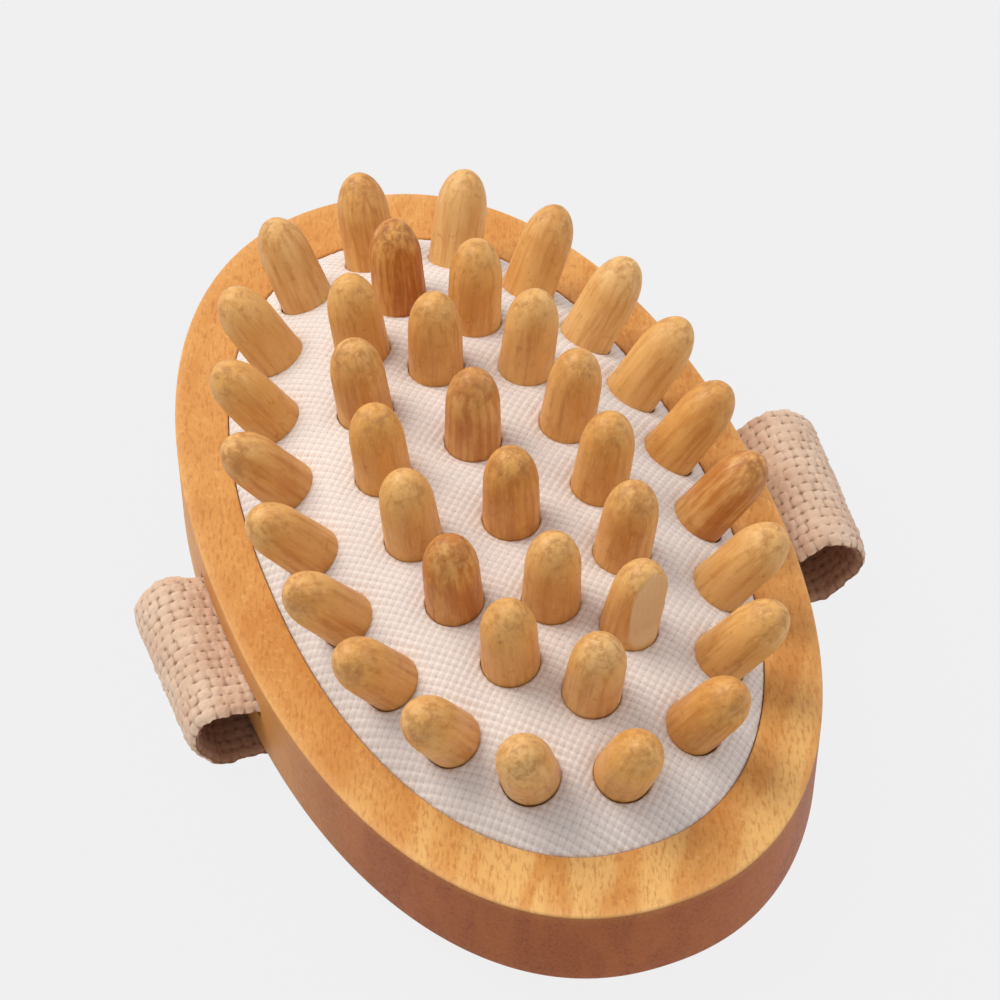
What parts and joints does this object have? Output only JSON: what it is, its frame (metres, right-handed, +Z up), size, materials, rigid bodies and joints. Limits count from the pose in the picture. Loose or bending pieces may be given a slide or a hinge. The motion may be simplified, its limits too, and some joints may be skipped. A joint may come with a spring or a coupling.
{
  "type": "scalp massager brush",
  "caption": "Oval wooden massage brush with a cloth-faced air cushion, rounded wooden pegs that press into it, and a cotton hand strap.",
  "frame": {"origin": "middle of the underside, on the surface that the brush lies on, under its strap", "axes": "+Z up out of the pegs, +Y along the brush, +X across it, along the strap"},
  "size_m": [0.0992, 0.13, 0.0395],
  "materials": {
    "honey_wood": "satin",
    "peg_wood": "waxed",
    "white_cloth": "matt woven",
    "cotton_webbing": "coarse woven"
  },
  "bodies": {
    "brush": {"wooden_body": "honey_wood", "cushion": "white_cloth", "hand_strap": "cotton_webbing"},
    "peg_outer_01": {"peg_outer_01": "peg_wood"},
    "peg_outer_02": {"peg_outer_02": "peg_wood"},
    "peg_outer_03": {"peg_outer_03": "peg_wood"},
    "peg_outer_04": {"peg_outer_04": "peg_wood"},
    "peg_outer_05": {"peg_outer_05": "peg_wood"},
    "peg_outer_06": {"peg_outer_06": "peg_wood"},
    "peg_outer_07": {"peg_outer_07": "peg_wood"},
    "peg_outer_08": {"peg_outer_08": "peg_wood"},
    "peg_outer_09": {"peg_outer_09": "peg_wood"},
    "peg_outer_10": {"peg_outer_10": "peg_wood"},
    "peg_outer_11": {"peg_outer_11": "peg_wood"},
    "peg_outer_12": {"peg_outer_12": "peg_wood"},
    "peg_outer_13": {"peg_outer_13": "peg_wood"},
    "peg_outer_14": {"peg_outer_14": "peg_wood"},
    "peg_outer_15": {"peg_outer_15": "peg_wood"},
    "peg_outer_16": {"peg_outer_16": "peg_wood"},
    "peg_outer_17": {"peg_outer_17": "peg_wood"},
    "peg_outer_18": {"peg_outer_18": "peg_wood"},
    "peg_outer_19": {"peg_outer_19": "peg_wood"},
    "peg_outer_20": {"peg_outer_20": "peg_wood"},
    "peg_middle_01": {"peg_middle_01": "peg_wood"},
    "peg_middle_02": {"peg_middle_02": "peg_wood"},
    "peg_middle_03": {"peg_middle_03": "peg_wood"},
    "peg_middle_04": {"peg_middle_04": "peg_wood"},
    "peg_middle_05": {"peg_middle_05": "peg_wood"},
    "peg_middle_06": {"peg_middle_06": "peg_wood"},
    "peg_middle_07": {"peg_middle_07": "peg_wood"},
    "peg_middle_08": {"peg_middle_08": "peg_wood"},
    "peg_middle_09": {"peg_middle_09": "peg_wood"},
    "peg_middle_10": {"peg_middle_10": "peg_wood"},
    "peg_middle_11": {"peg_middle_11": "peg_wood"},
    "peg_middle_12": {"peg_middle_12": "peg_wood"},
    "peg_middle_13": {"peg_middle_13": "peg_wood"},
    "peg_middle_14": {"peg_middle_14": "peg_wood"},
    "peg_centre_01": {"peg_centre_01": "peg_wood"},
    "peg_centre_02": {"peg_centre_02": "peg_wood"},
    "peg_centre_03": {"peg_centre_03": "peg_wood"},
    "peg_centre_04": {"peg_centre_04": "peg_wood"}
  },
  "joints": [
    {"name": "press_outer_01", "type": "slide", "parent": "brush", "child": "peg_outer_01", "axis": [-0.007, -0.4289, -0.9033], "range_m": [0, 0.004], "stiffness_N_per_m": 800},
    {"name": "press_outer_02", "type": "slide", "parent": "brush", "child": "peg_outer_02", "axis": [-0.2752, -0.3765, -0.8846], "range_m": [0, 0.004], "stiffness_N_per_m": 800},
    {"name": "press_outer_03", "type": "slide", "parent": "brush", "child": "peg_outer_03", "axis": [-0.4634, -0.262, -0.8465], "range_m": [0, 0.004], "stiffness_N_per_m": 800},
    {"name": "press_outer_04", "type": "slide", "parent": "brush", "child": "peg_outer_04", "axis": [-0.5581, -0.1524, -0.8156], "range_m": [0, 0.004], "stiffness_N_per_m": 800},
    {"name": "press_outer_05", "type": "slide", "parent": "brush", "child": "peg_outer_05", "axis": [-0.6, -0.0632, -0.7975], "range_m": [0, 0.004], "stiffness_N_per_m": 800},
    {"name": "press_outer_06", "type": "slide", "parent": "brush", "child": "peg_outer_06", "axis": [-0.6115, 0.0011, -0.7913], "range_m": [0, 0.004], "stiffness_N_per_m": 800},
    {"name": "press_outer_07", "type": "slide", "parent": "brush", "child": "peg_outer_07", "axis": [-0.6016, 0.0676, -0.7959], "range_m": [0, 0.004], "stiffness_N_per_m": 800},
    {"name": "press_outer_08", "type": "slide", "parent": "brush", "child": "peg_outer_08", "axis": [-0.5593, 0.1544, -0.8145], "range_m": [0, 0.004], "stiffness_N_per_m": 800},
    {"name": "press_outer_09", "type": "slide", "parent": "brush", "child": "peg_outer_09", "axis": [-0.4599, 0.2558, -0.8503], "range_m": [0, 0.004], "stiffness_N_per_m": 800},
    {"name": "press_outer_10", "type": "slide", "parent": "brush", "child": "peg_outer_10", "axis": [-0.2677, 0.354, -0.8961], "range_m": [0, 0.004], "stiffness_N_per_m": 800},
    {"name": "press_outer_11", "type": "slide", "parent": "brush", "child": "peg_outer_11", "axis": [-0.0067, 0.3953, -0.9185], "range_m": [0, 0.004], "stiffness_N_per_m": 800},
    {"name": "press_outer_12", "type": "slide", "parent": "brush", "child": "peg_outer_12", "axis": [0.2343, 0.3491, -0.9073], "range_m": [0, 0.004], "stiffness_N_per_m": 800},
    {"name": "press_outer_13", "type": "slide", "parent": "brush", "child": "peg_outer_13", "axis": [0.4184, 0.2499, -0.8732], "range_m": [0, 0.004], "stiffness_N_per_m": 800},
    {"name": "press_outer_14", "type": "slide", "parent": "brush", "child": "peg_outer_14", "axis": [0.5132, 0.1502, -0.845], "range_m": [0, 0.004], "stiffness_N_per_m": 800},
    {"name": "press_outer_15", "type": "slide", "parent": "brush", "child": "peg_outer_15", "axis": [0.5533, 0.0656, -0.8304], "range_m": [0, 0.004], "stiffness_N_per_m": 800},
    {"name": "press_outer_16", "type": "slide", "parent": "brush", "child": "peg_outer_16", "axis": [0.5626, 0.001, -0.8268], "range_m": [0, 0.004], "stiffness_N_per_m": 800},
    {"name": "press_outer_17", "type": "slide", "parent": "brush", "child": "peg_outer_17", "axis": [0.5515, -0.0613, -0.8319], "range_m": [0, 0.004], "stiffness_N_per_m": 800},
    {"name": "press_outer_18", "type": "slide", "parent": "brush", "child": "peg_outer_18", "axis": [0.512, -0.1482, -0.8461], "range_m": [0, 0.004], "stiffness_N_per_m": 800},
    {"name": "press_outer_19", "type": "slide", "parent": "brush", "child": "peg_outer_19", "axis": [0.4221, -0.2563, -0.8696], "range_m": [0, 0.004], "stiffness_N_per_m": 800},
    {"name": "press_outer_20", "type": "slide", "parent": "brush", "child": "peg_outer_20", "axis": [0.2414, -0.372, -0.8963], "range_m": [0, 0.004], "stiffness_N_per_m": 800},
    {"name": "press_middle_01", "type": "slide", "parent": "brush", "child": "peg_middle_01", "axis": [-0.0046, -0.1992, -0.98], "range_m": [0, 0.004], "stiffness_N_per_m": 800},
    {"name": "press_middle_02", "type": "slide", "parent": "brush", "child": "peg_middle_02", "axis": [-0.1042, -0.1206, -0.9872], "range_m": [0, 0.004], "stiffness_N_per_m": 800},
    {"name": "press_middle_03", "type": "slide", "parent": "brush", "child": "peg_middle_03", "axis": [-0.1195, -0.0508, -0.9915], "range_m": [0, 0.004], "stiffness_N_per_m": 800},
    {"name": "press_middle_04", "type": "slide", "parent": "brush", "child": "peg_middle_04", "axis": [-0.1187, -0.012, -0.9929], "range_m": [0, 0.004], "stiffness_N_per_m": 800},
    {"name": "press_middle_05", "type": "slide", "parent": "brush", "child": "peg_middle_05", "axis": [-0.1181, 0.011, -0.9929], "range_m": [0, 0.004], "stiffness_N_per_m": 800},
    {"name": "press_middle_06", "type": "slide", "parent": "brush", "child": "peg_middle_06", "axis": [-0.1178, 0.0487, -0.9918], "range_m": [0, 0.004], "stiffness_N_per_m": 800},
    {"name": "press_middle_07", "type": "slide", "parent": "brush", "child": "peg_middle_07", "axis": [-0.1023, 0.1164, -0.9879], "range_m": [0, 0.004], "stiffness_N_per_m": 800},
    {"name": "press_middle_08", "type": "slide", "parent": "brush", "child": "peg_middle_08", "axis": [-0.0045, 0.1931, -0.9812], "range_m": [0, 0.004], "stiffness_N_per_m": 800},
    {"name": "press_middle_09", "type": "slide", "parent": "brush", "child": "peg_middle_09", "axis": [0.0833, 0.1117, -0.9902], "range_m": [0, 0.004], "stiffness_N_per_m": 800},
    {"name": "press_middle_10", "type": "slide", "parent": "brush", "child": "peg_middle_10", "axis": [0.0954, 0.0442, -0.9945], "range_m": [0, 0.004], "stiffness_N_per_m": 800},
    {"name": "press_middle_11", "type": "slide", "parent": "brush", "child": "peg_middle_11", "axis": [0.0931, 0.0096, -0.9956], "range_m": [0, 0.004], "stiffness_N_per_m": 800},
    {"name": "press_middle_12", "type": "slide", "parent": "brush", "child": "peg_middle_12", "axis": [0.0936, -0.0105, -0.9956], "range_m": [0, 0.004], "stiffness_N_per_m": 800},
    {"name": "press_middle_13", "type": "slide", "parent": "brush", "child": "peg_middle_13", "axis": [0.097, -0.0462, -0.9942], "range_m": [0, 0.004], "stiffness_N_per_m": 800},
    {"name": "press_middle_14", "type": "slide", "parent": "brush", "child": "peg_middle_14", "axis": [0.085, -0.1158, -0.9896], "range_m": [0, 0.004], "stiffness_N_per_m": 800},
    {"name": "press_centre_01", "type": "slide", "parent": "brush", "child": "peg_centre_01", "axis": [-0.0019, -0.0438, -0.999], "range_m": [0, 0.004], "stiffness_N_per_m": 800},
    {"name": "press_centre_02", "type": "slide", "parent": "brush", "child": "peg_centre_02", "axis": [-0.0003, -0.0017, -1], "range_m": [0, 0.004], "stiffness_N_per_m": 800},
    {"name": "press_centre_03", "type": "slide", "parent": "brush", "child": "peg_centre_03", "axis": [-0.0003, 0.0017, -1], "range_m": [0, 0.004], "stiffness_N_per_m": 800},
    {"name": "press_centre_04", "type": "slide", "parent": "brush", "child": "peg_centre_04", "axis": [-0.0019, 0.0438, -0.999], "range_m": [0, 0.004], "stiffness_N_per_m": 800}
  ]
}
